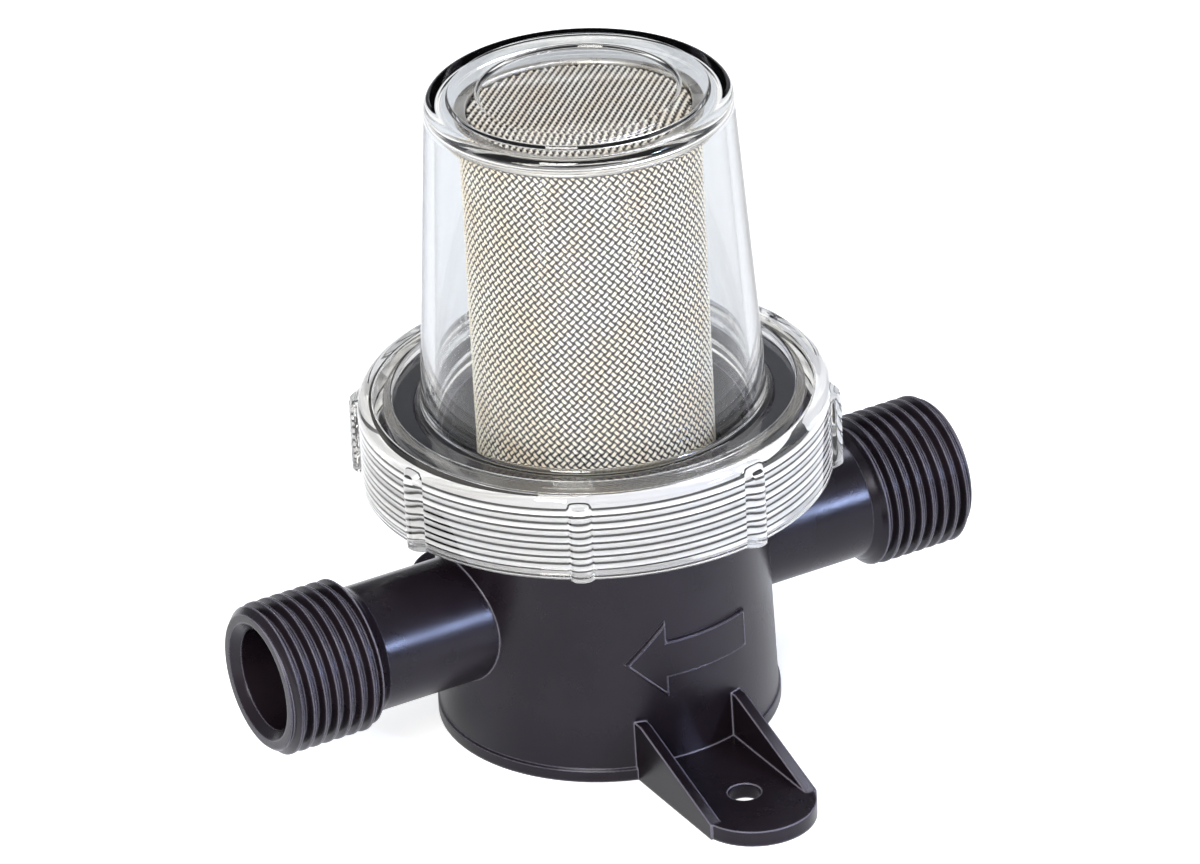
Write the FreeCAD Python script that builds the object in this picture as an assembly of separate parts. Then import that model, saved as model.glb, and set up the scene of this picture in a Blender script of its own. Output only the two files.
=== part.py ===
import FreeCAD, Part
import os
from math import cos, pi, sin

# Sea water strainer: moulded housing, clear bowl, screwed ring nut and a woven basket.
#
# Millimetres. The origin is the centre of the base's underside. +Z runs up the axis of the
# bowl, water enters at the +X port and leaves at the -X port, and the feet lie along Y.

V = FreeCAD.Vector
UP = V(0, 0, 1)
CENTRE = V(0, 0, 0)

# ---------------------------------------------------------------- driving dimensions

# Housing: the cup and its base
BASE_R = 23.1            # outside of the cup just above the base bead
BODY_TOP_R = 22.3        # outside of the cup under the head, after the mould's draft
BEAD_R = 23.4            # bead around the foot of the cup
BEAD_H = 1.6
CUP_R = 20.5             # inside of the cup
FLOOR_T = 3.0

# Housing: the threaded head that carries the ring nut
HEAD_Z = 36.2            # underside of the head
RIM_Z = 44.4             # top of the rim
HEAD_ROOT_R = 28.2
HEAD_CREST_R = 29.2
HEAD_PITCH = 2.0
HEAD_RIDGES = 4
GROOVE_DEPTH = 0.8       # seat of the gasket in the rim

# Section of a thread ridge, as shares of its pitch
RIDGE_ROOT_SHARE = 0.44
RIDGE_CREST_SHARE = 0.10
RIDGE_SUNK = 0.15        # how deep a helical ridge starts inside its core

# Housing: ports, 1/2 inch parallel pipe thread outside
PORT_Z = 19.3
PORT_END_X = 53.0
PORT_BORE_R = 7.0
NECK_R = 8.65
PIPE_CREST_R = 20.955 / 2
PIPE_PITCH = 25.4 / 14
PIPE_ROOT_R = PIPE_CREST_R - 0.6403 * PIPE_PITCH
THREAD_START_X = 38.6
MOUTH_R = 8.2            # countersunk mouth of the bore

# Housing: seat tube for the basket, which is also the way out to the -X port
SEAT_TUBE_R = 14.9
SEAT_BORE_R = 13.0
SEAT_TOP_Z = 34.0
LEDGE_Z = 29.0
LEDGE_T = 1.5
LEDGE_R = 16.7

# Housing: feet
FOOT_HOLE_Y = 36.0
FOOT_HOLE_R = 2.25
FOOT_TIP_Y = 47.0
FOOT_W = 16.4
FOOT_T = 2.2
GUSSET_T = 1.6
GUSSET_H = 8.6           # height of a gusset where it meets the cup
GUSSET_END_Y = 41.0

# Housing: raised flow arrow on the front of the cup
ARROW_Z = 17.4
ARROW_TIP_X = -8.8
ARROW_NECK_X = -3.5
ARROW_TAIL_X = 9.6
ARROW_HEAD_H = 10.7
ARROW_SHAFT_H = 5.2
ARROW_RAISE = 0.5

# Gasket
GASKET_IN_R = 24.2
GASKET_OUT_R = 27.2
GASKET_T = 1.6

# Bowl
FLANGE_R = 28.4
FLANGE_T = 1.6
BOWL_FOOT_R = 23.3
BOWL_TOP_R = 20.4
BOWL_WALL = 2.0
SHOULDER_Z = 90.9
TOP_RING_Z = 91.9
TOP_RING_OUT_R = 17.5
TOP_RING_IN_R = 13.2

# Ring nut
NUT_Z = 35.5
NUT_TOP_Z = 48.0
NUT_R = 31.8
NUT_BORE_R = 29.7
LIP_R = 27.0
LIP_GAP = 0.05
RIB_COUNT = 8
RIB_R = 1.6
RIB_REACH_R = 33.1
FIRST_RIB_DEG = -123.5
NUT_TOP_FILLET = 2.2
NUT_MOUTH_LEAD = 0.6     # lead-in at the bottom of the nut's bore

# Basket
WEAVE_OUT_R = 16.1
WEAVE_T = 0.6
BASKET_TOP_Z = 88.1
BAND_T = 0.4             # folded strip that binds each end
BAND_CLEAR = 0.05
TOP_BAND_H = 2.8
BOTTOM_BAND_H = 6.0
LID_DROP = 1.0           # underside of the round mesh below the basket's top
GAP_ROWS = 8
GAPS_PER_ROW = 14
GAP_SHARE = 0.68         # how much of its cell each gap opens, each way
GAP_MARGIN = 1.0         # plain weave left beside each band
SEAM_W = 3.0
SEAM_T = 0.35
SEAM_DEG = 100.0

# ---------------------------------------------------------------- worked-out levels

GASKET_Z = RIM_Z - GROOVE_DEPTH
FLANGE_Z = GASKET_Z + GASKET_T
FLANGE_TOP_Z = FLANGE_Z + FLANGE_T
LIP_Z = FLANGE_TOP_Z + LIP_GAP
WEAVE_IN_R = WEAVE_OUT_R - WEAVE_T
BAND_IN_R = WEAVE_IN_R - BAND_CLEAR - BAND_T
BAND_OUT_R = WEAVE_OUT_R + BAND_CLEAR + BAND_T


# ---------------------------------------------------------------- helpers

def lathe(points):
    """Solid of revolution about Z from a closed outline of (radius, height) points."""
    outline = [V(radius, 0, height) for radius, height in points]
    face = Part.Face(Part.makePolygon(outline + outline[:1]))
    return face.revolve(CENTRE, UP, 360)


def drum(radius, low, high):
    """Plain cylinder about Z between two heights."""
    return Part.makeCylinder(radius, high - low, V(0, 0, low))


def ring(inner, outer, low, high):
    """Plain ring about Z between two heights."""
    return drum(outer, low, high).cut(drum(inner, low - 1, high + 1))


def round_rim(solid, radius, height, fillet):
    """Round the circular edge about Z that has this radius and height."""
    rims = []
    for edge in solid.Edges:
        curve = edge.Curve
        if not isinstance(curve, Part.Circle):
            continue
        if abs(curve.Radius - radius) < 0.01 and abs(curve.Center.z - height) < 0.01:
            rims.append(edge)
    return solid.makeFillet(fillet, rims)


def thread_ridge(root, crest, pitch, low, high):
    """Helical ridge of V section on a cylinder about Z, with sloped run-in and run-out."""
    depth = crest - root
    half_root = RIDGE_ROOT_SHARE * pitch
    half_crest = RIDGE_CREST_SHARE * pitch
    inner = root - RIDGE_SUNK
    section = Part.makePolygon([
        V(inner, 0, -half_root),
        V(crest, 0, -half_crest),
        V(crest, 0, half_crest),
        V(inner, 0, half_root),
        V(inner, 0, -half_root),
    ])
    helix = Part.Wire(Part.makeHelix(pitch, high - low + pitch, root))
    ridge = helix.makePipeShell([section], True, True)
    ridge.translate(V(0, 0, low - pitch / 2))
    envelope = lathe([
        (root - 1, low),
        (root, low),
        (crest + 0.1, low + depth + 0.1),
        (crest + 0.1, high - depth - 0.1),
        (root, high),
        (root - 1, high),
    ])
    return ridge.common(envelope)


def turned_to_port(solid, side):
    """Lay a solid built about Z along the port axis, with side +1 or -1 along X."""
    laid = solid.copy()
    laid.rotate(CENTRE, V(0, 1, 0), 90 * side)
    laid.translate(V(0, 0, PORT_Z))
    return laid


# ---------------------------------------------------------------- housing

def cup_outside():
    """Drafted cup with the bead at its foot and the ridged head under the ring nut."""
    outline = [
        (0, 0),
        (BEAD_R, 0),
        (BEAD_R, BEAD_H),
        (BASE_R, BEAD_H + 0.3),
        (BODY_TOP_R, HEAD_Z - 2),
        (BODY_TOP_R + 2, HEAD_Z),
        (HEAD_ROOT_R, HEAD_Z),
    ]
    half_root = RIDGE_ROOT_SHARE * HEAD_PITCH
    half_crest = RIDGE_CREST_SHARE * HEAD_PITCH
    first = (HEAD_Z + RIM_Z - (HEAD_RIDGES - 1) * HEAD_PITCH) / 2
    for ridge in range(HEAD_RIDGES):
        middle = first + ridge * HEAD_PITCH
        outline += [
            (HEAD_ROOT_R, middle - half_root),
            (HEAD_CREST_R, middle - half_crest),
            (HEAD_CREST_R, middle + half_crest),
            (HEAD_ROOT_R, middle + half_root),
        ]
    return lathe(outline + [(HEAD_ROOT_R, RIM_Z), (0, RIM_Z)])


def port_spigot():
    """Port along Z: plain neck, then a pipe thread with a chamfered end."""
    core = lathe([
        (0, 0),
        (NECK_R, 0),
        (NECK_R, THREAD_START_X - 1.0),
        (PIPE_ROOT_R, THREAD_START_X),
        (PIPE_ROOT_R, PORT_END_X),
        (0, PORT_END_X),
    ])
    ridge = thread_ridge(PIPE_ROOT_R, PIPE_CREST_R, PIPE_PITCH, THREAD_START_X, PORT_END_X)
    return core.fuse(ridge)


def foot(side):
    """Foot with a round tip and two gussets, towards +Y or -Y."""
    half = FOOT_W / 2
    tip_centre = FOOT_TIP_Y - half
    plate = Part.makeBox(FOOT_W, tip_centre - CUP_R, FOOT_T, V(-half, CUP_R, 0))
    plate = plate.fuse(Part.makeCylinder(half, FOOT_T, V(0, tip_centre, 0)))
    web = Part.Face(Part.makePolygon([
        V(0, CUP_R, 0),
        V(0, GUSSET_END_Y, 0),
        V(0, GUSSET_END_Y, FOOT_T),
        V(0, BASE_R, GUSSET_H),
        V(0, CUP_R, GUSSET_H),
        V(0, CUP_R, 0),
    ]))
    for edge_x in (-half, half - GUSSET_T):
        gusset = web.extrude(V(GUSSET_T, 0, 0))
        gusset.translate(V(edge_x, 0, 0))
        plate = plate.fuse(gusset)
    plate = plate.cut(Part.makeCylinder(FOOT_HOLE_R, FOOT_T + 2, V(0, FOOT_HOLE_Y, -1)))
    if side < 0:
        plate.rotate(CENTRE, UP, 180)
    return plate


def flow_arrow():
    """Arrow that stands a little proud of the cup's front, pointing along the flow."""
    head = ARROW_HEAD_H / 2
    shaft = ARROW_SHAFT_H / 2
    corners = [
        (ARROW_TIP_X, 0),
        (ARROW_NECK_X, head),
        (ARROW_NECK_X, shaft),
        (ARROW_TAIL_X, shaft),
        (ARROW_TAIL_X, -shaft),
        (ARROW_NECK_X, -shaft),
        (ARROW_NECK_X, -head),
    ]
    outline = [V(x, 0, ARROW_Z + height) for x, height in corners]
    stamp = Part.Face(Part.makePolygon(outline + outline[:1])).extrude(V(0, -2 * BASE_R, 0))
    skin = lathe([
        (CUP_R + 0.5, BEAD_H + 0.3),
        (BASE_R + ARROW_RAISE, BEAD_H + 0.3),
        (BODY_TOP_R + ARROW_RAISE, HEAD_Z - 2),
        (CUP_R + 0.5, HEAD_Z - 2),
    ])
    return stamp.common(skin)


def water_space():
    """Inside of the cup around the seat tube and its ledge."""
    cup = drum(CUP_R, FLOOR_T, RIM_Z + 1)
    tube = drum(SEAT_TUBE_R, FLOOR_T, SEAT_TOP_Z)
    ledge = lathe([
        (SEAT_TUBE_R - 1, LEDGE_Z),
        (LEDGE_R, LEDGE_Z),
        (LEDGE_R, LEDGE_Z - LEDGE_T),
        (SEAT_TUBE_R, LEDGE_Z - LEDGE_T - 1.2),
        (SEAT_TUBE_R - 1, LEDGE_Z - LEDGE_T - 1.2),
    ])
    duct = turned_to_port(drum(NECK_R, SEAT_BORE_R, CUP_R + 1), -1)
    return cup.cut(tube).cut(ledge).cut(duct)


def port_bore(side, inner_end):
    """Waterway of one port with its countersunk mouth."""
    sink = MOUTH_R - PORT_BORE_R
    bore = lathe([
        (0, inner_end),
        (PORT_BORE_R, inner_end),
        (PORT_BORE_R, PORT_END_X - sink),
        (MOUTH_R, PORT_END_X),
        (MOUTH_R, PORT_END_X + 1),
        (0, PORT_END_X + 1),
    ])
    return turned_to_port(bore, side)


def make_housing():
    solid = cup_outside()
    for side in (1, -1):
        solid = solid.fuse(turned_to_port(port_spigot(), side))
        solid = solid.fuse(foot(side))
    solid = solid.fuse(flow_arrow())
    solid = solid.cut(water_space())
    solid = solid.cut(drum(SEAT_BORE_R, FLOOR_T, SEAT_TOP_Z + 1))
    solid = solid.cut(port_bore(1, SEAT_TUBE_R + 3))
    solid = solid.cut(port_bore(-1, SEAT_BORE_R - 4))
    solid = solid.cut(ring(GASKET_IN_R, GASKET_OUT_R, GASKET_Z, RIM_Z + 1))
    return solid.removeSplitter()


# ---------------------------------------------------------------- clamped parts

def make_gasket():
    return ring(GASKET_IN_R, GASKET_OUT_R, GASKET_Z, GASKET_Z + GASKET_T)


def make_bowl():
    inner_foot = BOWL_FOOT_R - BOWL_WALL
    inner_top = BOWL_TOP_R - BOWL_WALL
    ceiling = SHOULDER_Z - BOWL_WALL
    slope = 0.3
    solid = lathe([
        (inner_foot, FLANGE_Z),
        (FLANGE_R, FLANGE_Z),
        (FLANGE_R, FLANGE_TOP_Z),
        (BOWL_FOOT_R, FLANGE_TOP_Z),
        (BOWL_TOP_R, SHOULDER_Z),
        (TOP_RING_OUT_R, SHOULDER_Z),
        (TOP_RING_OUT_R - slope, TOP_RING_Z),
        (TOP_RING_IN_R + slope, TOP_RING_Z),
        (TOP_RING_IN_R, SHOULDER_Z),
        (0, SHOULDER_Z),
        (0, ceiling),
        (inner_top, ceiling),
    ])
    solid = round_rim(solid, BOWL_TOP_R, SHOULDER_Z, 2.4)
    solid = round_rim(solid, inner_top, ceiling, 1.2)
    return round_rim(solid, BOWL_FOOT_R, FLANGE_TOP_Z, 0.9)


def make_ring_nut():
    solid = lathe([
        (NUT_BORE_R + NUT_MOUTH_LEAD, NUT_Z),
        (NUT_R, NUT_Z),
        (NUT_R, NUT_TOP_Z),
        (LIP_R, NUT_TOP_Z),
        (LIP_R, LIP_Z),
        (NUT_BORE_R, LIP_Z),
        (NUT_BORE_R, NUT_Z + NUT_MOUTH_LEAD),
    ])
    rib_centre = RIB_REACH_R - RIB_R
    for index in range(RIB_COUNT):
        turn = (FIRST_RIB_DEG + 360 / RIB_COUNT * index) * pi / 180
        foot_point = V(rib_centre * cos(turn), rib_centre * sin(turn), NUT_Z)
        solid = solid.fuse(Part.makeCylinder(RIB_R, NUT_TOP_Z - NUT_Z, foot_point))
    limit_r = RIB_REACH_R + 0.1
    outside = round_rim(drum(limit_r, NUT_Z, NUT_TOP_Z), limit_r, NUT_TOP_Z, NUT_TOP_FILLET)
    bore = drum(NUT_BORE_R, NUT_Z, LIP_Z)
    return solid.common(outside).cut(bore).removeSplitter()


# ---------------------------------------------------------------- basket

def weave_gaps():
    """Staggered square gaps of the coarse weave, as short cutters through the wall."""
    low = LEDGE_Z + BOTTOM_BAND_H + GAP_MARGIN
    high = BASKET_TOP_Z - TOP_BAND_H - GAP_MARGIN
    row_height = (high - low) / GAP_ROWS
    step = 360 / GAPS_PER_ROW
    width = 2 * pi * WEAVE_OUT_R / GAPS_PER_ROW * GAP_SHARE
    height = row_height * GAP_SHARE
    cutters = []
    for row in range(GAP_ROWS):
        middle = low + (row + 0.5) * row_height
        for column in range(GAPS_PER_ROW):
            turn = SEAM_DEG + step * (column + 0.5 * (row % 2) + 0.25)
            cutter = Part.makeBox(3, width, height, V(WEAVE_IN_R - 1, -width / 2, middle - height / 2))
            cutter.rotate(CENTRE, UP, turn)
            cutters.append(cutter)
    return Part.makeCompound(cutters)


def make_screen_wall():
    low = LEDGE_Z + BAND_T + BAND_CLEAR
    high = BASKET_TOP_Z - BAND_T - BAND_CLEAR
    return ring(WEAVE_IN_R, WEAVE_OUT_R, low, high).cut(weave_gaps())


def folded_band(low, high, fold_at_top):
    """Strip folded over the end of the weave: an outer leg, an inner leg and the fold."""
    inner = ring(BAND_IN_R, BAND_IN_R + BAND_T, low, high)
    outer = ring(BAND_OUT_R - BAND_T, BAND_OUT_R, low, high)
    fold_low = high - BAND_T if fold_at_top else low
    fold = ring(BAND_IN_R, BAND_OUT_R, fold_low, fold_low + BAND_T)
    return inner.fuse(fold).fuse(outer).removeSplitter()


def make_screen_top_ring():
    return folded_band(BASKET_TOP_Z - TOP_BAND_H, BASKET_TOP_Z, True)


def make_screen_bottom_collar():
    return folded_band(LEDGE_Z, LEDGE_Z + BOTTOM_BAND_H, False)


def make_screen_top_mesh():
    low = BASKET_TOP_Z - LID_DROP
    return drum(BAND_IN_R, low, low + WEAVE_T)


def make_screen_seam():
    """Strip outside the weave, between the two bands, over the joint of its edges."""
    low = LEDGE_Z + BOTTOM_BAND_H + BAND_CLEAR
    high = BASKET_TOP_Z - TOP_BAND_H - BAND_CLEAR
    hoop = ring(WEAVE_OUT_R, WEAVE_OUT_R + SEAM_T, low, high)
    slot = Part.makeBox(WEAVE_OUT_R + 2, SEAM_W, high - low + 2, V(0, -SEAM_W / 2, low - 1))
    slot.rotate(CENTRE, UP, SEAM_DEG)
    return hoop.common(slot)


# ---------------------------------------------------------------- output

PIECES = {
    "housing": make_housing,
    "gasket": make_gasket,
    "bowl": make_bowl,
    "ring_nut": make_ring_nut,
    "screen_wall": make_screen_wall,
    "screen_seam": make_screen_seam,
    "screen_top_ring": make_screen_top_ring,
    "screen_top_mesh": make_screen_top_mesh,
    "screen_bottom_collar": make_screen_bottom_collar,
}

os.makedirs("parts", exist_ok=True)
for name, make in PIECES.items():
    piece = make()
    piece.exportStep(f"parts/{name}.step")
    print(name, "valid", piece.isValid(), "solids", len(piece.Solids), "volume", round(piece.Volume))
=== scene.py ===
from math import asin, ceil, cos, pi, radians, sin, sqrt, tan

import bmesh
import bpy
from mathutils import Matrix, Vector


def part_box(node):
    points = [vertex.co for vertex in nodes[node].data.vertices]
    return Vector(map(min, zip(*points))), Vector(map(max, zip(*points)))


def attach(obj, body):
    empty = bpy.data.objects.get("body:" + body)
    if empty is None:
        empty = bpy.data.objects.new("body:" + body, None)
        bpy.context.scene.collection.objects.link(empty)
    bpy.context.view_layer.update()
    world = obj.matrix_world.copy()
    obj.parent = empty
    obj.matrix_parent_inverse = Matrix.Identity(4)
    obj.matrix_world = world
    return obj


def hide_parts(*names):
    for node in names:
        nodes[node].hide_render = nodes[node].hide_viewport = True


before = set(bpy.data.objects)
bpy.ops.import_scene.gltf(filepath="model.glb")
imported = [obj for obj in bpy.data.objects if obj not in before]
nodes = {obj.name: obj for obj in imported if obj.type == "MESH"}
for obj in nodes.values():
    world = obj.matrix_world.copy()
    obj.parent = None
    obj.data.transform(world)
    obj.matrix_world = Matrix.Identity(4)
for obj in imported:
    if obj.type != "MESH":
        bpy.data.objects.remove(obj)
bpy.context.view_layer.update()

# Sea water strainer. Shapes are written in millimetres and turned into metres by MM.
# The stage, the lamps, the camera and the depths in the materials are in metres.
MM = 0.001


def low_high(node):
    """Lowest and highest corner of a node, in millimetres."""
    low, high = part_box(node)
    return low / MM, high / MM


# ---------------------------------------------------------------- sizes taken from the frame

nut_low, nut_high = low_high("ring_nut")
bowl_low, bowl_high = low_high("bowl")
wall_low, wall_high = low_high("screen_wall")
lid_low, lid_high = low_high("screen_top_mesh")
collar_high = low_high("screen_bottom_collar")[1]
cap_high = low_high("screen_top_ring")[1]

NUT_BOTTOM = nut_low.z
NUT_TOP = nut_high.z
BOWL_BOTTOM = bowl_low.z
BOWL_TOP = bowl_high.z
FLANGE_R = bowl_high.x

# ---------------------------------------------------------------- sizes of the drawn pieces

NUT_R = 31.8
NUT_BORE_R = 29.7
NUT_MOUTH_FLARE = 0.4        # the bore opens by this much at its foot
NUT_WALL_LEVELS = 10         # rows up the outside wall, for the ribs to fade over
NUT_TALL_RUN = 4.0           # an outside run taller than this is divided into those rows
LIP_R = 27.0
LIP_T = 1.15
RIB_COUNT = 8
RIB_R = 1.6
RIB_REACH_R = 33.1
RIB_CENTRE_R = RIB_REACH_R - RIB_R
FIRST_RIB_DEG = -123.5
RIB_BAND = 0.4               # the ribs stand on the outermost part of the nut, this deep
RIB_MARGIN = 1.02            # the close columns reach a little past each rib
RIB_COLUMNS = 14             # columns of points across each rib
GAP_COLUMNS = 22             # columns of points between two ribs
RIB_TOP_FADE = 0.9           # the ribs end this far below the top and fade over as much again
RIB_FOOT_FADE = 0.5
RIB_FOOT_SHARE = 0.35        # its root is the share of a rib left at the nut's lower edge

THREAD_PITCH = 2.0
THREAD_CREST_R = 29.6
THREAD_DEPTH = 1.0
THREAD_LOW = NUT_BOTTOM + 0.4
THREAD_HIGH = NUT_TOP - LIP_T - 0.3
THREAD_FADE = 0.5 * THREAD_PITCH     # the thread dies away over this height at each end
# One lap of the thread: (share of the pitch, share of the depth).
THREAD_PROFILE = ((0.0, 0.0), (0.17, 0.0), (0.655, 1.0), (0.825, 1.0))
THREAD_ROWS = len(THREAD_PROFILE)
FLAT_ROWS = (0, 2)           # the rows of a lap that are its crest flat and its root flat
FLAT_MATERIAL = 1            # places of these two in the list of the nut's materials
FLANK_MATERIAL = 2

FLANGE_T = 1.6
BOWL_FOOT_R = 23.3
BOWL_TOP_R = 20.4
BOWL_WALL = 2.0
BOWL_TOP_WALL = 1.4          # the wall thins toward the top
BOWL_COLUMNS = 256
TOP_RING_H = 0.5
TOP_RING_OUT_R = 17.5
TOP_RING_IN_R = 13.2
TOP_RING_SLOPE = 0.3

WIRE_HALF_W = 0.23
WIRE_HALF_T = 0.17
WIRE_SIDES = 4
CORNER_REACH = 1.2           # a square section reaches past the round one it stands for
WIRE_CENTRE_R = 15.78
WIRES_EACH_WAY = 91
WIRE_RISE = 0.62             # height between one crossing and the next
WEAVE_END_GAP = 0.3
LID_WIRE_PITCH = 0.62
LID_WIRE_HALF_W = 0.17
LID_EDGE_GAP = 0.1
CAP_W = 1.5
CAP_H = 0.8
CAP_COLUMNS = 160

ARROW_Z = 17.4
ARROW_TIP_X = -8.8
ARROW_NECK_X = -3.5
ARROW_TAIL_X = 9.6
ARROW_HEAD_H = 10.7
ARROW_SHAFT_H = 5.2
ARROW_RAISE = 0.5
ARROW_STEP = 0.8             # longest run of the edge between two sections
MITRE_LIMIT = 0.35
# Section of the arrow's edge: (outward from the outline, up from the cup's wall).
ARROW_SECTION = (
    (0.16, -0.2),
    (0.16, 0.12),
    (-0.02, ARROW_RAISE + 0.02),
    (-0.20, ARROW_RAISE + 0.05),
    (-0.32, ARROW_RAISE - 0.1),
)
CUP_FOOT_R = 23.1
CUP_FOOT_Z = 1.9
CUP_TOP_R = 22.3
CUP_TOP_Z = 34.2

FILLET_SHARE = 0.49          # a fillet takes at most this share of each side it joins
WELD_DISTANCE = 0.002        # points of a mesh closer than this are one point

# ---------------------------------------------------------------- mesh helpers


def new_object(name, data):
    """Object with this data, placed in the scene."""
    thing = bpy.data.objects.new(name, data)
    bpy.context.scene.collection.objects.link(thing)
    return thing


def mesh_piece(name, verts, faces, body, smooth_deg, marks=None):
    """A closed mesh in millimetres, merged, shaded smooth up to an angle, riding on a body.

    marks gives the number of the material of each face that does not take the first one.
    """
    mesh = bpy.data.meshes.new(name)
    mesh.from_pydata([Vector(v) * MM for v in verts], [], faces)
    for index, number in (marks or {}).items():
        mesh.polygons[index].material_index = number
    bm = bmesh.new()
    bm.from_mesh(mesh)
    bmesh.ops.remove_doubles(bm, verts=bm.verts, dist=WELD_DISTANCE * MM)
    bmesh.ops.recalc_face_normals(bm, faces=bm.faces)
    bm.to_mesh(mesh)
    bm.free()
    mesh.shade_smooth()
    mesh.set_sharp_from_angle(angle=radians(smooth_deg))
    piece = new_object(name, mesh)
    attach(piece, body)
    return piece


def rounded(corners, steps):
    """Closed outline of (r, z, fillet) corners with each fillet drawn as an arc."""
    outline = []
    count = len(corners)
    for index, (r, z, fillet) in enumerate(corners):
        here = Vector((r, z))
        before = Vector(corners[index - 1][:2]) - here
        after = Vector(corners[(index + 1) % count][:2]) - here
        if fillet <= 0:
            outline.append(here)
            continue
        half = before.angle(after) / 2
        shorter = min(before.length, after.length)
        reach = min(fillet / tan(half), FILLET_SHARE * shorter)
        radius = reach * tan(half)
        start = before.normalized()
        end = after.normalized()
        centre = here + (start + end).normalized() * (radius / sin(half))
        first = here + start * reach - centre
        last = here + end * reach - centre
        sweep = first.angle_signed(last)
        for step in range(steps + 1):
            turn = -sweep * step / steps
            outline.append(centre + Matrix.Rotation(turn, 2) @ first)
    return [(point.x, point.y) for point in outline]


def loop_faces(columns, rows):
    """Faces between closed columns of points that stand side by side in a closed loop."""
    faces = []
    for column in range(columns):
        near = column * rows
        beside = (column + 1) % columns * rows
        for row in range(rows):
            above = (row + 1) % rows
            faces.append((near + row, beside + row, beside + above, near + above))
    return faces


def turned(outline, columns):
    """Vertices and faces of a closed outline of (r, z) points turned about Z."""
    verts = []
    for column in range(columns):
        turn = 2 * pi * column / columns
        for r, z in outline:
            verts.append((r * cos(turn), r * sin(turn), z))
    return verts, loop_faces(columns, len(outline))


def joined(parts):
    """Several (vertices, faces) pairs as one."""
    verts = []
    faces = []
    for part_verts, part_faces in parts:
        first = len(verts)
        verts.extend(part_verts)
        faces.extend(tuple(first + index for index in face) for face in part_faces)
    return verts, faces


# ---------------------------------------------------------------- shader helpers


def feed(tree, socket, value):
    """Give a socket a value, or link it to the socket that the value comes from."""
    if isinstance(value, bpy.types.NodeSocket):
        tree.links.new(value, socket)
    else:
        socket.default_value = value


def noise(tree, vector, scale, detail):
    """Noise value whose scale comes from a socket."""
    node = tree.nodes.new("ShaderNodeTexNoise")
    node.inputs["Detail"].default_value = detail
    node.inputs["Roughness"].default_value = 0.55
    tree.links.new(vector, node.inputs["Vector"])
    tree.links.new(scale, node.inputs["Scale"])
    return node.outputs["Fac"]


def ramp(tree, value, low, high, out_low=0.0, out_high=1.0):
    """Smooth map of one value range to another."""
    node = tree.nodes.new("ShaderNodeMapRange")
    node.interpolation_type = "SMOOTHSTEP"
    node.inputs["From Min"].default_value = low
    node.inputs["From Max"].default_value = high
    node.inputs["To Min"].default_value = out_low
    node.inputs["To Max"].default_value = out_high
    tree.links.new(value, node.inputs["Value"])
    return node.outputs["Result"]


def calculated(tree, operation, *values):
    """Math node; each value is a number or a socket."""
    node = tree.nodes.new("ShaderNodeMath")
    node.operation = operation
    for socket, value in zip(node.inputs, values):
        feed(tree, socket, value)
    return node.outputs[0]


def mixed(tree, factor, first, second):
    """Colour mix; each end is a colour or a socket."""
    node = tree.nodes.new("ShaderNodeMix")
    node.data_type = "RGBA"
    tree.links.new(factor, node.inputs["Factor"])
    feed(tree, node.inputs[6], first)
    feed(tree, node.inputs[7], second)
    return node.outputs[2]


def mixed_shader(tree, factor, first, second):
    """Shader mix of two shader sockets."""
    node = tree.nodes.new("ShaderNodeMixShader")
    tree.links.new(factor, node.inputs["Fac"])
    tree.links.new(first, node.inputs[1])
    tree.links.new(second, node.inputs[2])
    return node.outputs["Shader"]


def bumped(tree, height, strength, distance, normal=None):
    """Normal roughened by a height, on top of another normal if one is given."""
    bump = tree.nodes.new("ShaderNodeBump")
    bump.inputs["Strength"].default_value = strength
    bump.inputs["Distance"].default_value = distance
    tree.links.new(height, bump.inputs["Height"])
    if normal is not None:
        tree.links.new(normal, bump.inputs["Normal"])
    return bump.outputs["Normal"]


# ---------------------------------------------------------------- shader groups


def new_group(name, inputs, outputs):
    """Empty shader node group with named sockets; returns the tree and its two end nodes."""
    tree = bpy.data.node_groups.new(name, "ShaderNodeTree")
    for label, kind, value in inputs:
        socket = tree.interface.new_socket(label, in_out="INPUT", socket_type=kind)
        socket.default_value = value
    for label, kind in outputs:
        tree.interface.new_socket(label, in_out="OUTPUT", socket_type=kind)
    start = tree.nodes.new("NodeGroupInput")
    end = tree.nodes.new("NodeGroupOutput")
    return tree, start, end


def placed(tree, group, **values):
    """A group's node in a tree, with its inputs set by name."""
    node = tree.nodes.new("ShaderNodeGroup")
    node.node_tree = group
    for label, value in values.items():
        node.inputs[label.replace("_", " ")].default_value = value
    return node


def moulded_grain_group():
    """Fine moulded grain: a height for bump, and a slow cloud for tone."""
    tree, start, end = new_group(
        "moulded_grain",
        [("Grain Scale", "NodeSocketFloat", 2500.0), ("Cloud Scale", "NodeSocketFloat", 60.0)],
        [("Height", "NodeSocketFloat"), ("Cloud", "NodeSocketFloat")],
    )
    place = tree.nodes.new("ShaderNodeTexCoord").outputs["Object"]
    height = noise(tree, place, start.outputs["Grain Scale"], 3.0)
    cloud = ramp(tree, noise(tree, place, start.outputs["Cloud Scale"], 5.0), 0.3, 0.7)
    tree.links.new(height, end.inputs["Height"])
    tree.links.new(cloud, end.inputs["Cloud"])
    return tree


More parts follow.
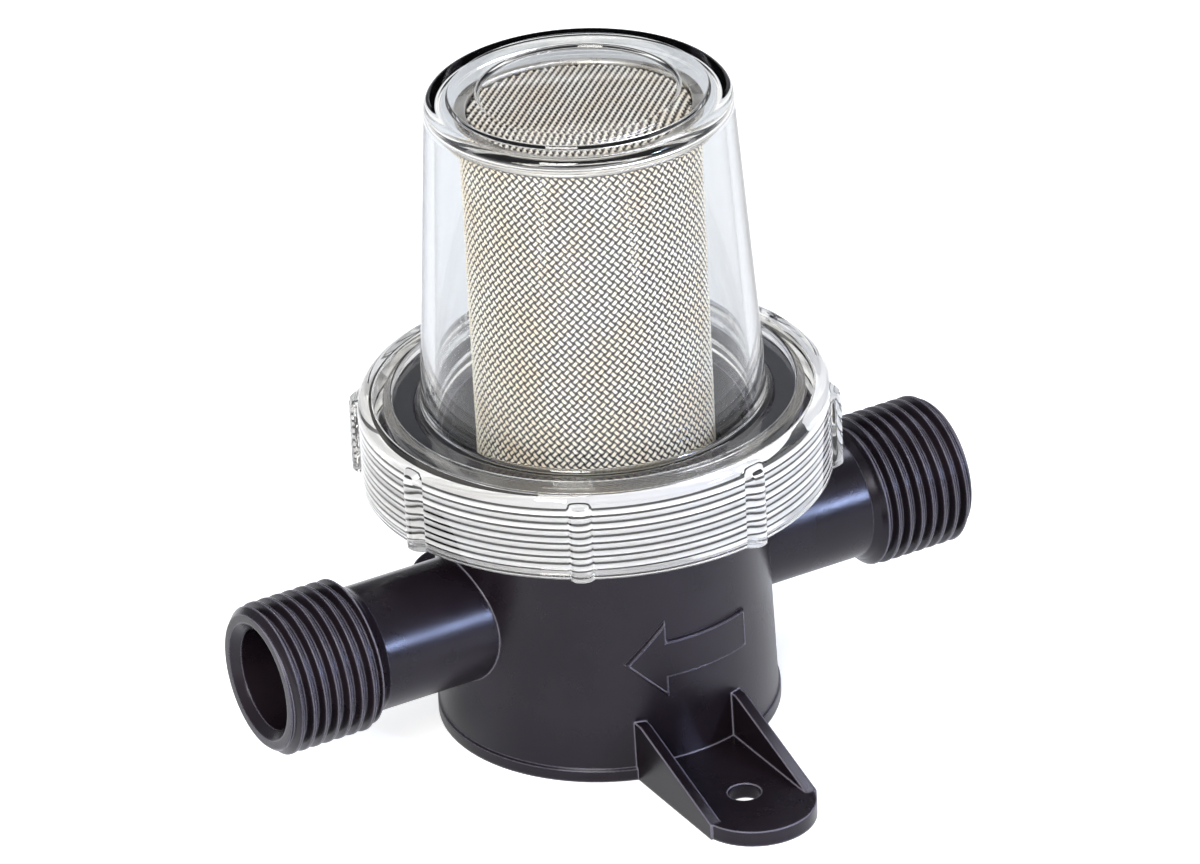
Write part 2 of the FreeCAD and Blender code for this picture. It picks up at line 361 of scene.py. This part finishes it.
def soft_edge_group():
    """Normal that rounds off hard moulded edges, and a mask of where those edges are."""
    tree, start, end = new_group(
        "soft_edges",
        [("Radius", "NodeSocketFloat", 0.0003)],
        [("Normal", "NodeSocketVector"), ("Mask", "NodeSocketFloat")],
    )
    rounding = tree.nodes.new("ShaderNodeBevel")
    rounding.samples = 6
    tree.links.new(start.outputs["Radius"], rounding.inputs["Radius"])
    flat = tree.nodes.new("ShaderNodeNewGeometry").outputs["Normal"]
    match = tree.nodes.new("ShaderNodeVectorMath")
    match.operation = "DOT_PRODUCT"
    tree.links.new(rounding.outputs["Normal"], match.inputs[0])
    tree.links.new(flat, match.inputs[1])
    tree.links.new(rounding.outputs["Normal"], end.inputs["Normal"])
    tree.links.new(ramp(tree, match.outputs["Value"], 0.97, 0.80), end.inputs["Mask"])
    return tree


def weave_relief_group():
    """How far out of the weave a point stands, for a wall about Z and for a level lid."""
    tree, start, end = new_group(
        "weave_relief",
        [("Low", "NodeSocketFloat", 0.0), ("High", "NodeSocketFloat", 1.0)],
        [("Wall", "NodeSocketFloat"), ("Lid", "NodeSocketFloat")],
    )
    place = tree.nodes.new("ShaderNodeTexCoord").outputs["Object"]
    parts = tree.nodes.new("ShaderNodeSeparateXYZ")
    tree.links.new(place, parts.inputs["Vector"])
    level = tree.nodes.new("ShaderNodeCombineXYZ")
    tree.links.new(parts.outputs["X"], level.inputs["X"])
    tree.links.new(parts.outputs["Y"], level.inputs["Y"])
    radius = tree.nodes.new("ShaderNodeVectorMath")
    radius.operation = "LENGTH"
    tree.links.new(level.outputs["Vector"], radius.inputs[0])
    for label, value in (("Wall", radius.outputs["Value"]), ("Lid", parts.outputs["Z"])):
        share = tree.nodes.new("ShaderNodeMapRange")
        tree.links.new(value, share.inputs["Value"])
        tree.links.new(start.outputs["Low"], share.inputs["From Min"])
        tree.links.new(start.outputs["High"], share.inputs["From Max"])
        tree.links.new(share.outputs["Result"], end.inputs[label])
    return tree


MOULDED_GRAIN = moulded_grain_group()
SOFT_EDGES = soft_edge_group()
WEAVE_RELIEF = weave_relief_group()

# ---------------------------------------------------------------- materials

PLASTIC_IOR = 1.56
STRAIGHT_THROUGH = (0.96, 0.97, 0.98, 1)     # tint of light that passes a clear wall
WEAVE_PAINTED_SHADE = (0.012, 0.005, 0.003, 1)      # painted shade of the wires down in the weave


def new_material(name):
    """Node material; returns it with its tree and its Principled node."""
    material = bpy.data.materials.new(name)
    material.use_nodes = True
    tree = material.node_tree
    surface = tree.nodes["Principled BSDF"]
    return material, tree, surface


def black_moulding_material():
    """Black moulded plastic with a painted highlight that makes it pale along its edges."""
    material, tree, surface = new_material("black_moulding")
    grain = placed(tree, MOULDED_GRAIN, Grain_Scale=2600.0, Cloud_Scale=70.0)
    edges = placed(tree, SOFT_EDGES, Radius=0.0005)
    cloud = grain.outputs["Cloud"]
    body = mixed(tree, cloud, (0.0058, 0.0038, 0.0056, 1), (0.0120, 0.0080, 0.0112, 1))
    # Painted highlight: along its edges the colour goes toward a pale lilac, for the light that
    # rounded edges catch.
    edge_highlight = mixed(tree, edges.outputs["Mask"], body, (0.24, 0.225, 0.28, 1))
    normal = bumped(tree, grain.outputs["Height"], 0.10, 0.0001, edges.outputs["Normal"])
    tree.links.new(edge_highlight, surface.inputs["Base Color"])
    tree.links.new(ramp(tree, cloud, 0, 1, 0.24, 0.31), surface.inputs["Roughness"])
    tree.links.new(normal, surface.inputs["Normal"])
    surface.inputs["Specular IOR Level"].default_value = 0.32
    surface.inputs["Specular Tint"].default_value = (0.88, 0.88, 1.0, 1)
    return material


def rubber_material():
    """Matt black rubber."""
    material, tree, surface = new_material("black_rubber")
    grain = placed(tree, MOULDED_GRAIN, Grain_Scale=1800.0, Cloud_Scale=120.0)
    cloud = grain.outputs["Cloud"]
    colour = mixed(tree, cloud, (0.010, 0.010, 0.011, 1), (0.018, 0.017, 0.018, 1))
    normal = bumped(tree, grain.outputs["Height"], 0.2, 0.0001)
    tree.links.new(colour, surface.inputs["Base Color"])
    tree.links.new(ramp(tree, cloud, 0, 1, 0.45, 0.6), surface.inputs["Roughness"])
    tree.links.new(normal, surface.inputs["Normal"])
    return material


def clear_material(name, tint, clearness):
    """Moulded plastic, clear, cloudy or opaque. Shadow and diffuse light go straight through."""
    material, tree, surface = new_material(name)
    grain = placed(tree, MOULDED_GRAIN, Grain_Scale=220.0, Cloud_Scale=35.0)
    cloud = grain.outputs["Cloud"]
    pale = tuple(0.5 + 0.5 * part if part > 0.5 else part for part in tint[:3]) + (1,)
    normal = bumped(tree, grain.outputs["Height"], 0.02, 0.0002)
    tree.links.new(mixed(tree, cloud, tint, pale), surface.inputs["Base Color"])
    tree.links.new(ramp(tree, cloud, 0, 1, 0.015, 0.04), surface.inputs["Roughness"])
    tree.links.new(normal, surface.inputs["Normal"])
    surface.inputs["Transmission Weight"].default_value = clearness
    surface.inputs["IOR"].default_value = PLASTIC_IOR
    path = tree.nodes.new("ShaderNodeLightPath")
    passing = calculated(tree, "MAXIMUM", path.outputs["Is Shadow Ray"],
                         path.outputs["Is Diffuse Ray"])
    clear = tree.nodes.new("ShaderNodeBsdfTransparent")
    clear.inputs["Color"].default_value = STRAIGHT_THROUGH
    shader = mixed_shader(tree, passing, surface.outputs["BSDF"], clear.outputs["BSDF"])
    tree.links.new(shader, tree.nodes["Material Output"].inputs["Surface"])
    return material


def strip_material():
    """Folded stainless strip with a slow change of tone and fine drawing marks."""
    material, tree, surface = new_material("folded_strip")
    grain = placed(tree, MOULDED_GRAIN, Grain_Scale=1400.0, Cloud_Scale=160.0)
    cloud = grain.outputs["Cloud"]
    colour = mixed(tree, cloud, (0.50, 0.47, 0.43, 1), (0.62, 0.60, 0.56, 1))
    normal = bumped(tree, grain.outputs["Height"], 0.15, 0.00005)
    tree.links.new(colour, surface.inputs["Base Color"])
    tree.links.new(ramp(tree, cloud, 0, 1, 0.24, 0.36), surface.inputs["Roughness"])
    tree.links.new(normal, surface.inputs["Normal"])
    surface.inputs["Metallic"].default_value = 1.0
    return material


def wire_material(name, side, low, high, dull, bright):
    """Stainless wire in its own tone on the crests of the weave, dull and with a painted brown
    shade down in it.
    """
    material, tree, surface = new_material(name)
    grain = placed(tree, MOULDED_GRAIN, Grain_Scale=1400.0, Cloud_Scale=160.0)
    relief = placed(tree, WEAVE_RELIEF, Low=low * MM, High=high * MM).outputs[side]
    crest = mixed(tree, grain.outputs["Cloud"], dull, bright)
    normal = bumped(tree, grain.outputs["Height"], 0.10, 0.00005)
    # Painted shade: the deeper a wire lies in the weave, the more its colour goes to the dark
    # brown.
    tree.links.new(mixed(tree, relief, WEAVE_PAINTED_SHADE, crest), surface.inputs["Base Color"])
    tree.links.new(ramp(tree, relief, 0, 1, 0.60, 0.32), surface.inputs["Roughness"])
    tree.links.new(normal, surface.inputs["Normal"])
    surface.inputs["Metallic"].default_value = 0.12
    return material


BLACK = black_moulding_material()
RUBBER = rubber_material()
CLEAR_BOWL = clear_material("clear_bowl_plastic", (0.955, 0.968, 0.98, 1), 1.0)
CLEAR_NUT = clear_material("clear_nut_plastic", (1.0, 0.985, 0.95, 1), 1.0)
# Painted shade: opaque near-black on the thread's crest and root flats, for the dark lines that
# the black head makes through the clear thread.
THREAD_SHADE = clear_material("thread_shade", (0.012, 0.010, 0.009, 1), 0.0)
# Painted light: half cloudy pale flanks, for the bright light that the clear thread refracts.
THREAD_FLANK = clear_material("thread_flank", (1.0, 0.975, 0.93, 1), 0.5)
WALL_WIRE = wire_material("wall_wire", "Wall", WIRE_CENTRE_R + 0.13, WIRE_CENTRE_R + 0.22,
                          (0.95, 0.81, 0.60, 1), (1.0, 0.94, 0.79, 1))
LID_WIRE = wire_material("lid_wire", "Lid", lid_low.z + 0.34, lid_high.z + 0.02,
                         (0.95, 0.83, 0.64, 1), (1.0, 0.94, 0.80, 1))
STRIP = strip_material()


def dress(piece, *materials):
    """Give a piece its materials; with one material every face takes it."""
    polygons = piece.data.polygons
    numbers = [face.material_index for face in polygons]
    if len(materials) == 1:
        numbers = [0] * len(numbers)
    piece.data.materials.clear()
    for material in materials:
        piece.data.materials.append(material)
    polygons.foreach_set("material_index", numbers)


# ---------------------------------------------------------------- ring nut


def rib_rise(turn, z):
    """How far the nut's outside stands proud of its plain wall at this angle and height."""
    spacing = 2 * pi / RIB_COUNT
    away = (turn - radians(FIRST_RIB_DEG) + spacing / 2) % spacing - spacing / 2
    across = RIB_CENTRE_R * sin(away)
    if abs(across) >= RIB_R:
        return 0.0
    rise = max(0.0, RIB_CENTRE_R * cos(away) + sqrt(RIB_R ** 2 - across ** 2) - NUT_R)
    top_fade = min(1.0, max(0.0, (NUT_TOP - RIB_TOP_FADE - z) / RIB_TOP_FADE))
    foot_fade = min(1.0, max(0.0, (z - NUT_BOTTOM) / RIB_FOOT_FADE + RIB_FOOT_SHARE))
    return rise * sqrt(top_fade) * sqrt(foot_fade)


def nut_columns():
    """Angles around the nut, close together at each rib."""
    spacing = 2 * pi / RIB_COUNT
    half_rib = asin(RIB_R / RIB_CENTRE_R) * RIB_MARGIN
    gap = spacing - 2 * half_rib
    turns = []
    for rib in range(RIB_COUNT):
        middle = radians(FIRST_RIB_DEG) + rib * spacing
        for step in range(RIB_COLUMNS):
            turns.append(middle - half_rib + 2 * half_rib * step / RIB_COLUMNS)
        for step in range(GAP_COLUMNS):
            turns.append(middle + half_rib + gap * step / GAP_COLUMNS)
    return turns


def threaded_column(turn):
    """(r, z) points up the threaded bore at one angle; every column has the same count."""
    laps = ceil((THREAD_HIGH - THREAD_LOW) / THREAD_PITCH) + 2
    offset = (turn % (2 * pi)) / (2 * pi) - 1
    points = []
    for lap in range(laps):
        for along, rise in THREAD_PROFILE:
            z = THREAD_LOW + (lap + along + offset) * THREAD_PITCH
            clamped = min(max(z, THREAD_LOW), THREAD_HIGH)
            to_end = min(clamped - THREAD_LOW, THREAD_HIGH - clamped)
            fade = min(1.0, max(0.0, to_end / THREAD_FADE))
            points.append((THREAD_CREST_R + THREAD_DEPTH * rise * fade, clamped))
    return points


def ribbed_column(turn, outline):
    """(r, z) points of the nut's lip and outside at one angle, with the ribs standing out."""
    points = []
    for index, (r, z) in enumerate(outline):
        next_r, next_z = outline[(index + 1) % len(outline)]
        tall_wall = abs(next_z - z) > NUT_TALL_RUN and r > NUT_R - 0.5
        steps = NUT_WALL_LEVELS if tall_wall else 1
        for step in range(steps):
            part = step / steps
            point_r = r + (next_r - r) * part
            point_z = z + (next_z - z) * part
            if point_r > NUT_R - RIB_BAND:
                point_r += rib_rise(turn, point_z)
            points.append((point_r, point_z))
    return points


def nut_faces(turns, rows, wall_rows):
    """Faces of the nut, and the material numbers of those that are its thread.

    One lap of the helix ends where the angle passes zero. There the thread's rows meet
    those one lap further on, so that it climbs on without a step.
    """
    faces = []
    marks = {}
    count = len(turns)
    first_seam = next(index for index in range(count)
                      if turns[index] % (2 * pi) > turns[(index + 1) % count] % (2 * pi))
    for column in range(count):
        near = column * rows
        beside = (column + 1) % count * rows
        lift = THREAD_ROWS if column == first_seam else 0
        for row in range(rows):
            above = (row + 1) % rows
            beside_row, beside_above = row, above
            threaded = row < wall_rows - 1
            if threaded:
                beside_row = min(row + lift, wall_rows - 1)
                beside_above = min(above + lift, wall_rows - 1)
                if row == 0:
                    for early in range(lift):
                        faces.append((near, beside + early, beside + early + 1))
            corners = tuple(dict.fromkeys((near + row, beside + beside_row,
                                           beside + beside_above, near + above)))
            if len(corners) < 3:
                continue
            if threaded:
                flat = row % THREAD_ROWS in FLAT_ROWS
                marks[len(faces)] = FLAT_MATERIAL if flat else FLANK_MATERIAL
            faces.append(corners)
    return faces, marks


def make_ring_nut():
    """Clear nut with eight ribs outside and the helical thread inside."""
    outline = rounded([
        (NUT_BORE_R, NUT_TOP - LIP_T, 0.2),
        (LIP_R, NUT_TOP - LIP_T, 0.25),
        (LIP_R, NUT_TOP, 0.45),
        (NUT_R, NUT_TOP, 1.5),
        (NUT_R, NUT_BOTTOM, 0.5),
        (NUT_BORE_R + NUT_MOUTH_FLARE, NUT_BOTTOM, 0.3),
    ], steps=6)
    turns = nut_columns()
    wall_rows = len(threaded_column(0.0))
    verts = []
    for turn in turns:
        for r, z in threaded_column(turn) + ribbed_column(turn, outline):
            verts.append((r * cos(turn), r * sin(turn), z))
    faces, marks = nut_faces(turns, len(verts) // len(turns), wall_rows)
    piece = mesh_piece("ring_nut_clear", verts, faces, "ring_nut",
                       smooth_deg=32, marks=marks)
    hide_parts("ring_nut")
    dress(piece, CLEAR_NUT, THREAD_SHADE, THREAD_FLANK)


# ---------------------------------------------------------------- flow arrow


def cup_radius(z):
    """Outside radius of the drafted cup at a height."""
    share = (z - CUP_FOOT_Z) / (CUP_TOP_Z - CUP_FOOT_Z)
    return CUP_FOOT_R + (CUP_TOP_R - CUP_FOOT_R) * share


def left_of(direction):
    """Unit vector a quarter turn to the left of a flat direction."""
    return Vector((-direction.y, direction.x)).normalized()


def make_arrow_edge():
    """Small rounded edge all round the raised arrow."""
    head = ARROW_HEAD_H / 2
    shaft = ARROW_SHAFT_H / 2
    corners = [Vector(corner) for corner in (
        (ARROW_TIP_X, 0), (ARROW_NECK_X, head), (ARROW_NECK_X, shaft), (ARROW_TAIL_X, shaft),
        (ARROW_TAIL_X, -shaft), (ARROW_NECK_X, -shaft), (ARROW_NECK_X, -head),
    )]
    count = len(corners)
    mitres = []
    for index, here in enumerate(corners):
        out_before = left_of(here - corners[index - 1])
        out_after = left_of(corners[(index + 1) % count] - here)
        mitre = (out_before + out_after).normalized()
        mitres.append(mitre / max(mitre.dot(out_after), MITRE_LIMIT))
    verts = []
    for index, here in enumerate(corners):
        there = corners[(index + 1) % count]
        steps = max(1, int((there - here).length / ARROW_STEP))
        for step in range(steps):
            spot = here.lerp(there, step / steps)
            away = mitres[index] if step == 0 else left_of(there - here)
            for outward, rise in ARROW_SECTION:
                x, up = spot + away * outward
                z = ARROW_Z + up
                r = cup_radius(z) + rise
                verts.append((x, -sqrt(r * r - x * x), z))
    rows = len(ARROW_SECTION)
    faces = loop_faces(len(verts) // rows, rows)
    piece = mesh_piece("arrow_edge", verts, faces, "housing", smooth_deg=60)
    dress(piece, BLACK)


# ---------------------------------------------------------------- bowl


def make_bowl():
    """Clear tapered bowl with its flange and the raised ring on its top."""
    flange_top = BOWL_BOTTOM + FLANGE_T
    shoulder = BOWL_TOP - TOP_RING_H
    ceiling = shoulder - BOWL_WALL
    outline = rounded([
        (0.0, shoulder, 0),
        (TOP_RING_IN_R, shoulder, 0.35),
        (TOP_RING_IN_R + TOP_RING_SLOPE, BOWL_TOP, 0.35),
        (TOP_RING_OUT_R - TOP_RING_SLOPE, BOWL_TOP, 0.35),
        (TOP_RING_OUT_R, shoulder, 0.3),
        (BOWL_TOP_R, shoulder, 1.2),
        (BOWL_FOOT_R, flange_top, 0.9),
        (FLANGE_R, flange_top, 0.3),
        (FLANGE_R, BOWL_BOTTOM, 0.2),
        (BOWL_FOOT_R - BOWL_WALL, BOWL_BOTTOM, 0.4),
        (BOWL_TOP_R - BOWL_TOP_WALL, ceiling, 1.2),
        (0.0, ceiling, 0),
    ], steps=7)
    verts, faces = turned(outline, BOWL_COLUMNS)
    piece = mesh_piece("bowl_clear", verts, faces, "bowl", smooth_deg=50)
    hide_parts("bowl")
    dress(piece, CLEAR_BOWL)


# ---------------------------------------------------------------- basket


def wire_along(points, half_w):
    """Flattened wire along a list of (point, outward) pairs, with closed ends."""
    verts = []
    faces = []
    last = len(points) - 1
    for index, (point, outward) in enumerate(points):
        ahead = points[min(index + 1, last)][0] - points[max(index - 1, 0)][0]
        side = ahead.cross(outward).normalized()
        out = side.cross(ahead).normalized()
        for corner in range(WIRE_SIDES):
            turn = 2 * pi * (corner + 0.5) / WIRE_SIDES
            reach = side * cos(turn) * half_w + out * sin(turn) * WIRE_HALF_T
            verts.append(point + reach * CORNER_REACH)
    for index in range(last):
        near = index * WIRE_SIDES
        far = near + WIRE_SIDES
        for corner in range(WIRE_SIDES):
            beside = (corner + 1) % WIRE_SIDES
            faces.append((near + corner, near + beside, far + beside, far + corner))
    faces.append(tuple(range(WIRE_SIDES)))
    faces.append(tuple(last * WIRE_SIDES + corner for corner in reversed(range(WIRE_SIDES))))
    return verts, faces


def bias_wires(name, way):
    """One family of the wall's wires, laid on the bias, passing over and under the other."""
    low = wall_low.z + WEAVE_END_GAP
    high = wall_high.z - WEAVE_END_GAP
    crossings = int((high - low) / WIRE_RISE)
    half_step = pi / WIRES_EACH_WAY
    parts = []
    for wire in range(WIRES_EACH_WAY):
        points = []
        for mark in range(2 * crossings + 1):
            crossing = mark / 2
            turn = 2 * pi * wire / WIRES_EACH_WAY + way * crossing * half_step
            over = way * cos(pi * crossing) if mark % 2 == 0 else 0.0
            r = WIRE_CENTRE_R + over * WIRE_HALF_T
            outward = Vector((cos(turn), sin(turn), 0))
            points.append((Vector((r * cos(turn), r * sin(turn), low + crossing * WIRE_RISE)),
                           outward))
        parts.append(wire_along(points, WIRE_HALF_W))
    verts, faces = joined(parts)
    piece = mesh_piece(name, verts, faces, "housing", smooth_deg=80)
    dress(piece, WALL_WIRE)
    return piece


def lid_wires(name, along_x):
    """One family of the wires of the round piece that closes the top."""
    reach = lid_high.x - LID_EDGE_GAP
    middle = (lid_low.z + lid_high.z) / 2
    count = int(2 * reach / LID_WIRE_PITCH)
    upward = Vector((0, 0, 1))
    parts = []
    for wire in range(count):
        across = (wire - (count - 1) / 2) * LID_WIRE_PITCH
        half = sqrt(max(reach ** 2 - across ** 2, 0.0))
        marks = int(half / LID_WIRE_PITCH * 2)
        if marks < 2:
            continue
        points = []
        for mark in range(-marks, marks + 1):
            run = mark * LID_WIRE_PITCH / 2
            lift = cos(pi * (mark / 2 + wire)) * WIRE_HALF_T * (1 if along_x else -1)
            x, y = (run, across) if along_x else (across, run)
            points.append((Vector((x, y, middle + lift)), upward))
        parts.append(wire_along(points, LID_WIRE_HALF_W))
    verts, faces = joined(parts)
    piece = mesh_piece(name, verts, faces, "housing", smooth_deg=80)
    dress(piece, LID_WIRE)
    return piece


def make_top_rim():
    """Slim folded rim that binds the top of the weave."""
    inner = collar_high.x - CAP_W
    outline = rounded([
        (inner, cap_high.z - CAP_H, 0.1),
        (inner, cap_high.z, 0.2),
        (collar_high.x, cap_high.z, 0.2),
        (collar_high.x, cap_high.z - CAP_H, 0.1),
    ], steps=3)
    verts, faces = turned(outline, CAP_COLUMNS)
    piece = mesh_piece("top_rim_strip", verts, faces, "housing", smooth_deg=40)
    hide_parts("screen_top_ring")
    dress(piece, STRIP)


def make_basket():
    """Top rim, both families of the wall's wires and both families of the lid's."""
    make_top_rim()
    rising = bias_wires("wall_wires_rising", 1)
    falling = bias_wires("wall_wires_falling", -1)
    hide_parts("screen_wall")
    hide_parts("screen_wall")
    lengthwise = lid_wires("lid_wires_along", True)
    crosswise = lid_wires("lid_wires_across", False)
    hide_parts("screen_top_mesh")
    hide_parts("screen_top_mesh")


# ---------------------------------------------------------------- stage, lamps and camera

FLOOR_HALF = 4.0
FLOOR_Z = -0.00005
FLOOR_TO_EYE = 0.62          # light the floor gives off to the eye,
FLOOR_TO_GLOSS = 0.36        # to a glossy surface,
FLOOR_THROUGH_CLEAR = 0.74   # and through a clear part
ROOM_LIGHT = 0.62
ROOM_TO_GLOSS = -0.28        # change of the room's light in a glossy surface
PAPER_LIGHT = 1.25           # light of the backdrop, seen straight or through a clear part
LAMP_AIM = (0, 0, 0.04)
CARD_AIM = (0, 0, 0.06)
NECK_SPOT_DEG = 8

CAMERA_PLACE = (-0.48455, -0.89134, 0.57831)
CAMERA_AZIMUTH_DEG = -28.56
CAMERA_HEIGHT_DEG = 27.92
CAMERA_ROLL_DEG = -3.01
CAMERA_LENS = 256.8
CAMERA_SENSOR_W = 36.0
CAMERA_REACH = 20.0


def facing(place, aim):
    """Rotation that turns -Z from a place toward a point."""
    return (Vector(aim) - Vector(place)).to_track_quat("-Z", "Y").to_euler()


def panel_object(name, half_w, half_h, z=0.0):
    """Level rectangle about the origin."""
    corners = [(-half_w, -half_h, z), (half_w, -half_h, z),
               (half_w, half_h, z), (-half_w, half_h, z)]
    mesh = bpy.data.meshes.new(name)
    mesh.from_pydata(corners, [], [(0, 1, 2, 3)])
    return new_object(name, mesh)


def make_floor():
    """Pale floor that stays white to the eye and keeps the soft shadow under the strainer."""
    floor = panel_object("floor", FLOOR_HALF, FLOOR_HALF, FLOOR_Z)
    material, tree, surface = new_material("pale_floor")
    surface.inputs["Roughness"].default_value = 1.0
    surface.inputs["Specular IOR Level"].default_value = 0.0
    path = tree.nodes.new("ShaderNodeLightPath")
    through = path.outputs["Is Transmission Ray"]
    mirrored = calculated(tree, "MULTIPLY", path.outputs["Is Glossy Ray"], FLOOR_TO_GLOSS)
    bright = calculated(tree, "MULTIPLY_ADD", path.outputs["Is Camera Ray"], FLOOR_TO_EYE,
                        mirrored)
    lift = tree.nodes.new("ShaderNodeMix")
    tree.links.new(through, lift.inputs[0])
    tree.links.new(bright, lift.inputs[2])
    lift.inputs[3].default_value = FLOOR_THROUGH_CLEAR
    colour = mixed(tree, through, (0.8, 0.8, 0.8, 1), (0.14, 0.16, 0.18, 1))
    tree.links.new(colour, surface.inputs["Base Color"])
    surface.inputs["Emission Color"].default_value = (1, 1, 1, 1)
    tree.links.new(lift.outputs[0], surface.inputs["Emission Strength"])
    dress(floor, material)


def make_world():
    """Even room light, with bright paper where it is seen straight or through a clear part."""
    world = bpy.data.worlds.new("studio")
    bpy.context.scene.world = world
    world.use_nodes = True
    tree = world.node_tree
    tree.nodes.clear()
    out = tree.nodes.new("ShaderNodeOutputWorld")
    path = tree.nodes.new("ShaderNodeLightPath")
    room = tree.nodes.new("ShaderNodeBackground")
    room.inputs["Color"].default_value = (0.93, 0.95, 1.0, 1)
    room_light = calculated(tree, "MULTIPLY_ADD", path.outputs["Is Glossy Ray"], ROOM_TO_GLOSS,
                            ROOM_LIGHT)
    tree.links.new(room_light, room.inputs["Strength"])
    paper = tree.nodes.new("ShaderNodeBackground")
    paper.inputs["Color"].default_value = (0.98, 0.97, 0.95, 1)
    paper.inputs["Strength"].default_value = PAPER_LIGHT
    seen = calculated(tree, "MAXIMUM", path.outputs["Is Camera Ray"],
                      path.outputs["Is Transmission Ray"])
    shader = mixed_shader(tree, seen, room.outputs["Background"], paper.outputs["Background"])
    tree.links.new(shader, out.inputs["Surface"])


def lamp(name, kind, place, aim, watts, colour):
    """Lamp of a kind at a place, turned toward a point; returns its settings."""
    data = bpy.data.lights.new(name, kind)
    data.energy = watts
    data.color = colour
    light = new_object(name, data)
    light.location = place
    light.rotation_euler = facing(place, aim)
    return data


def soft_light(name, place, size, watts, colour=(1, 1, 1)):
    """Square soft box aimed at the middle of the strainer."""
    data = lamp(name, "AREA", place, LAMP_AIM, watts, colour)
    data.shape = "SQUARE"
    data.size = size


def neck_light(name, place, aim, radius, watts, colour):
    """Narrow spot that lights one neck only."""
    data = lamp(name, "SPOT", place, aim, watts, colour)
    data.shadow_soft_size = radius
    data.spot_size = radians(NECK_SPOT_DEG)
    data.spot_blend = 1.0


def card(name, place, size, tone, strength):
    """Panel that only shows in reflections and through the clear parts, to draw their edges."""
    panel = panel_object(name, size[0] / 2, size[1] / 2)
    panel.location = place
    panel.rotation_euler = facing(place, CARD_AIM)
    panel.visible_camera = False
    panel.visible_diffuse = False
    panel.visible_shadow = False
    material, tree, surface = new_material(name + "_card")
    surface.inputs["Base Color"].default_value = (0, 0, 0, 1)
    surface.inputs["Roughness"].default_value = 1.0
    surface.inputs["Specular IOR Level"].default_value = 0.0
    surface.inputs["Emission Color"].default_value = tone
    surface.inputs["Emission Strength"].default_value = strength
    dress(panel, material)


def make_camera():
    """Long lens from the front left and above, with a slight roll."""
    azimuth = radians(CAMERA_AZIMUTH_DEG)
    height = radians(CAMERA_HEIGHT_DEG)
    roll = radians(CAMERA_ROLL_DEG)
    back = Vector((sin(azimuth) * cos(height), -cos(azimuth) * cos(height), sin(height)))
    level_right = Vector((cos(azimuth), sin(azimuth), 0))
    level_up = back.cross(level_right)
    right = level_right * cos(roll) + level_up * sin(roll)
    up = level_up * cos(roll) - level_right * sin(roll)
    data = bpy.data.cameras.new("camera")
    data.sensor_width = CAMERA_SENSOR_W
    data.lens = CAMERA_LENS
    data.clip_end = CAMERA_REACH
    camera = new_object("camera", data)
    turn = Matrix((right, up, back)).transposed()
    camera.matrix_world = Matrix.Translation(Vector(CAMERA_PLACE)) @ turn.to_4x4()
    bpy.context.scene.camera = camera


# ---------------------------------------------------------------- build

make_camera()
make_world()
make_floor()
soft_light("key", (-0.75, -0.70, 0.75), size=0.5, watts=14.0, colour=(1.0, 0.98, 0.94))
soft_light("fill", (0.9, -0.6, 0.6), size=0.8, watts=1.8)
neck_light("right_neck", (0.245, -0.395, 0.17), aim=(0.036, 0.0, 0.024), radius=0.10,
           watts=100.0, colour=(0.55, 0.68, 1.0))
neck_light("left_neck", (0.245, -0.395, 0.24), aim=(-0.036, 0.0, 0.024), radius=0.10,
           watts=9.0, colour=(0.60, 0.70, 1.0))
soft_light("top", (0.42, 0.30, 0.87), size=0.30, watts=3.0, colour=(0.88, 0.90, 1.0))

card("left_card", (-0.55, 0.62, 0.10), size=(0.30, 0.9), tone=(0.60, 0.68, 0.80, 1),
     strength=0.55)
card("right_card", (0.80, -0.12, 0.10), size=(0.30, 0.9), tone=(0.55, 0.63, 0.76, 1),
     strength=0.45)
card("back_card", (0.42, 0.776, 0.53), size=(0.45, 0.40), tone=(0.5, 0.5, 0.55, 1),
     strength=0.03)

dress(nodes["housing"], BLACK)
dress(nodes["gasket"], RUBBER)
for strip in ("screen_seam", "screen_bottom_collar"):
    dress(nodes[strip], STRIP)
make_bowl()
make_ring_nut()
make_basket()
make_arrow_edge()

bpy.context.scene.view_settings.view_transform = "Standard"
